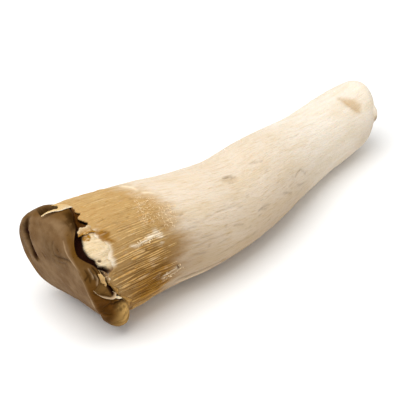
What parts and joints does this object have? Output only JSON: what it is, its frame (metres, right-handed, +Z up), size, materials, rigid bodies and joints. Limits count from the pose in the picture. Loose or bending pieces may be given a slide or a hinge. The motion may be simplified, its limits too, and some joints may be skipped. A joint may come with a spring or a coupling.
{
  "type": "king oyster mushroom",
  "caption": "King oyster mushroom lying on its side: thick bowed stem, gills running down from a torn edge, brown rolled cap face and rounded base.",
  "frame": {"origin": "middle of the bounding box's bottom, on the surface the mushroom lies on", "axes": "+X along the mushroom from the cap to the base of the stem, +Z up, and -Y is the side with the torn cap margin"},
  "size_m": [0.1833, 0.0525, 0.0446],
  "materials": {
    "stem_skin": "matt cream stem skin with fine lengthwise fibres",
    "cap_skin": "smooth satin brown cap skin",
    "gills": "matt tan gills running down the stem",
    "torn_flesh": "matt off-white torn flesh"
  },
  "bodies": {
    "root": {"mushroom": "stem_skin"}
  },
  "joints": []
}
